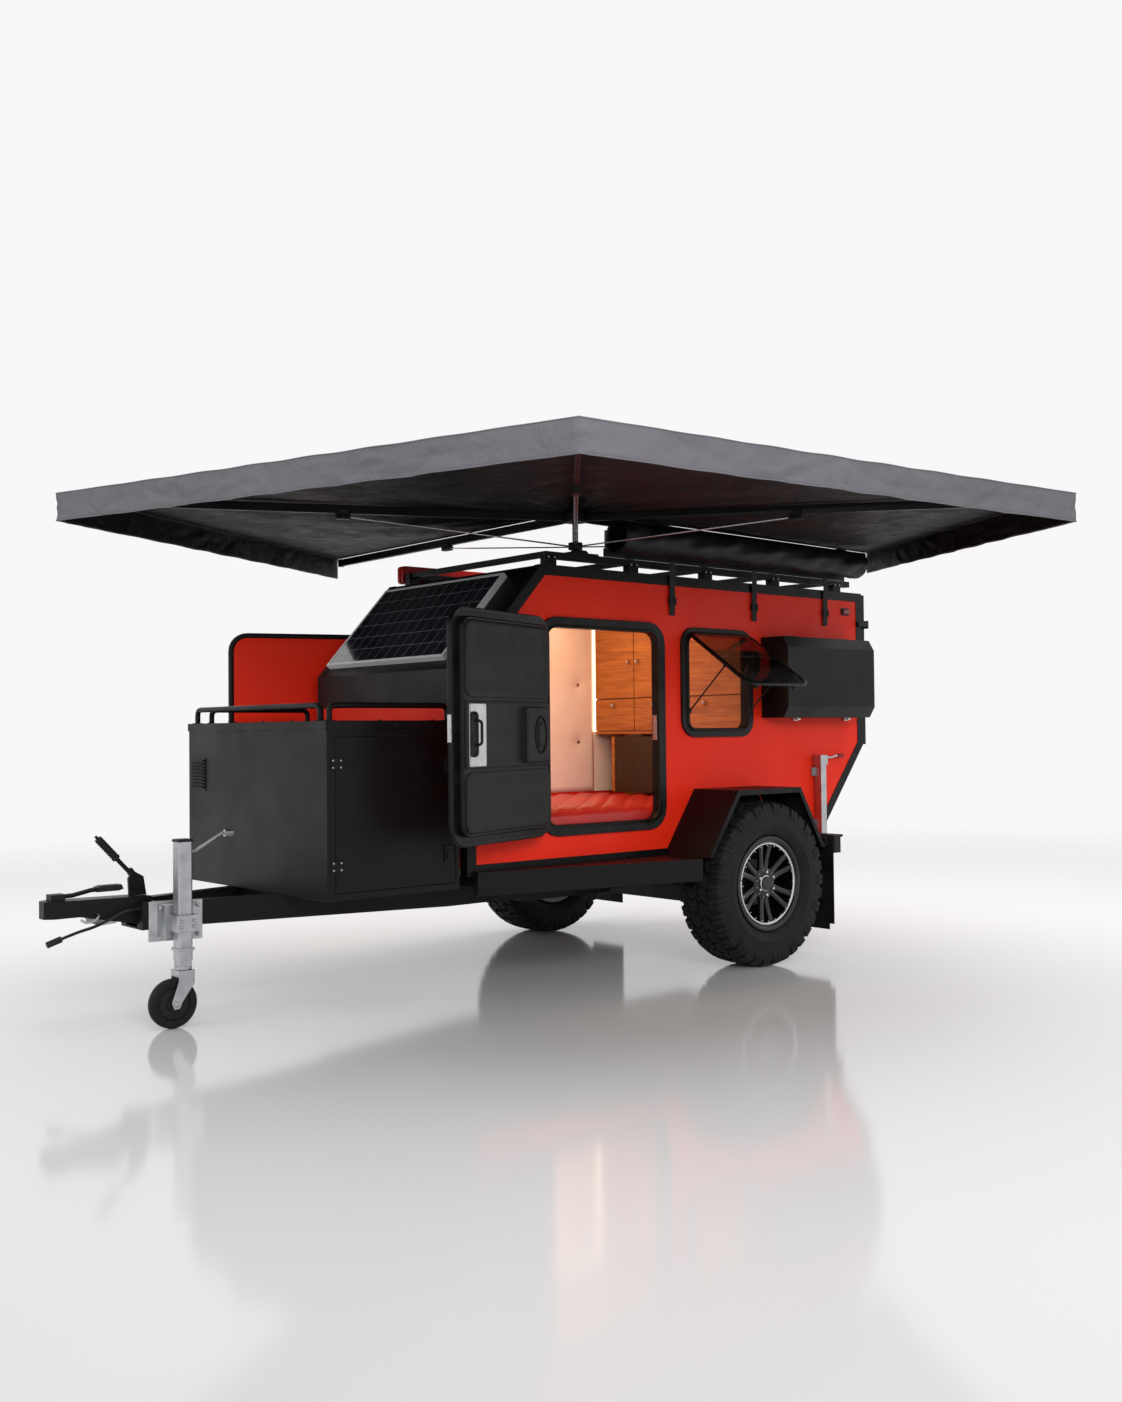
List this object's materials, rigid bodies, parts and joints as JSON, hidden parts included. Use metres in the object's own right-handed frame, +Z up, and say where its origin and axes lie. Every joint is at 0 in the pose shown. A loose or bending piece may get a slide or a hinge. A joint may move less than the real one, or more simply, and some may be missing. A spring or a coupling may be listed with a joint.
{
  "type": "squaredrop camper trailer",
  "caption": "Small off-road camping trailer with a slab-sided hollow cabin, side doors, front locker, drawbar with jockey wheel, roof rack and a wrap-round awning set up on one side.",
  "frame": {"origin": "centre of the ball socket in the tow coupling", "axes": "+X forward in the towing direction, +Y to the trailer's left, +Z up"},
  "size_m": [4.565, 4.2347, 2.19],
  "materials": {
    "black_coat": "satin powder coat",
    "red_coat": "satin powder coat",
    "tyre": "matt",
    "wheel_alloy": "satin black with a machined lip",
    "cast_drum": "rough",
    "black_plastic": "grained",
    "zinc_plate": "galvanised",
    "rubber": "matt",
    "plywood": "varnished",
    "walnut_ply": "varnished",
    "smoked_acrylic": "clear",
    "aluminium": "satin",
    "solar_glass": "glass over dark cells",
    "lamp_lens": "moulded",
    "red_plastic": "moulded",
    "canvas": "coated canvas",
    "bag_cloth": "coated",
    "webbing": "woven",
    "red_quilt": "quilted",
    "cable_sheath": "matt"
  },
  "bodies": {
    "chassis": {"chassis_frame": "black_coat", "torsion_axle": "black_coat", "coupling_head": "black_coat", "coupling_handle": "black_plastic", "handbrake_lever": "black_plastic", "jack_clamp": "zinc_plate", "jack_tube": "zinc_plate", "locker_shell": "black_coat", "locker_doors": "black_coat", "locker_rails": "black_coat", "floor_panel": "plywood", "wall_left": "red_coat", "wall_right": "red_coat", "roof_panel": "black_coat", "slope_panel": "black_coat", "front_wall": "red_coat", "tail_panel": "red_coat", "edge_trims": "black_coat", "door_frames": "black_plastic", "window_frames": "black_plastic", "window_pane_left": "smoked_acrylic", "window_pane_right": "smoked_acrylic", "window_stays": "aluminium", "solar_panel": "solar_glass", "wings": "black_coat", "steps": "black_coat", "mud_flaps": "rubber", "tail_lamps": "lamp_lens", "stabiliser_tubes": "zinc_plate", "side_box": "black_coat", "roof_rack": "black_coat", "recovery_boards": "red_plastic", "awning_hub": "black_coat", "awning_arms": "black_coat", "awning_struts": "black_coat", "awning_canopy": "canvas", "awning_bag": "bag_cloth", "awning_rail": "aluminium", "bag_straps": "webbing", "bed_base": "plywood", "mattress": "red_quilt", "cupboards": "walnut_ply", "water_tank": "black_plastic", "trailer_lead": "cable_sheath", "lead_plug": "black_plastic"},
    "wheel_left": {"tyre_left": "tyre", "rim_left": "wheel_alloy", "brake_drum_left": "cast_drum"},
    "wheel_right": {"tyre_right": "tyre", "rim_right": "wheel_alloy", "brake_drum_right": "cast_drum"},
    "jack_inner": {"jack_leg": "zinc_plate"},
    "caster": {"jack_fork": "zinc_plate"},
    "jockey": {"jockey_wheel": "rubber"},
    "left_door": {"door_left": "red_coat"},
    "right_door": {"door_right": "red_coat"},
    "hatch": {"rear_hatch": "red_coat"},
    "box_lid": {"side_box_lid": "black_coat"},
    "left_foot": {"stabiliser_leg_left": "zinc_plate"},
    "right_foot": {"stabiliser_leg_right": "zinc_plate"}
  },
  "joints": [
    {"name": "wheel_left_spin", "type": "hinge", "parent": "chassis", "child": "wheel_left", "pos_m": [-3.13, 0.807, -0.0685], "axis": [0, 1, 0], "continuous": true},
    {"name": "wheel_right_spin", "type": "hinge", "parent": "chassis", "child": "wheel_right", "pos_m": [-3.13, -0.807, -0.0685], "axis": [0, 1, 0], "continuous": true},
    {"name": "jack_slide", "type": "slide", "parent": "chassis", "child": "jack_inner", "axis": [0, 0, -1], "range_m": [0, 0.2]},
    {"name": "caster_swivel", "type": "hinge", "parent": "jack_inner", "child": "caster", "pos_m": [-0.415, 0.222, -0.27], "axis": [0, 0, 1], "continuous": true},
    {"name": "jockey_spin", "type": "hinge", "parent": "caster", "child": "jockey", "pos_m": [-0.371, 0.222, -0.373], "axis": [0, 1, 0], "continuous": true},
    {"name": "door_left_swing", "type": "hinge", "parent": "chassis", "child": "left_door", "pos_m": [-1.934, 0.657, 0.705], "axis": [0, 0, 1], "range_deg": [0, 160.6]},
    {"name": "door_right_swing", "type": "hinge", "parent": "chassis", "child": "right_door", "pos_m": [-1.934, -0.657, 0.705], "axis": [0, 0, -1], "range_deg": [0, 160.6]},
    {"name": "hatch_lift", "type": "hinge", "parent": "chassis", "child": "hatch", "pos_m": [-4.286, 0, 1.442], "axis": [0, 1, 0], "range_deg": [0, 84]},
    {"name": "box_lid_lift", "type": "hinge", "parent": "chassis", "child": "box_lid", "pos_m": [-3.8, 0.696, 1.1643], "axis": [1, 0, 0], "range_deg": [0, 80]},
    {"name": "stabiliser_left_slide", "type": "slide", "parent": "chassis", "child": "left_foot", "axis": [0, 0, -1], "range_m": [0, 0.3]},
    {"name": "stabiliser_right_slide", "type": "slide", "parent": "chassis", "child": "right_foot", "axis": [0, 0, -1], "range_m": [0, 0.3]}
  ]
}
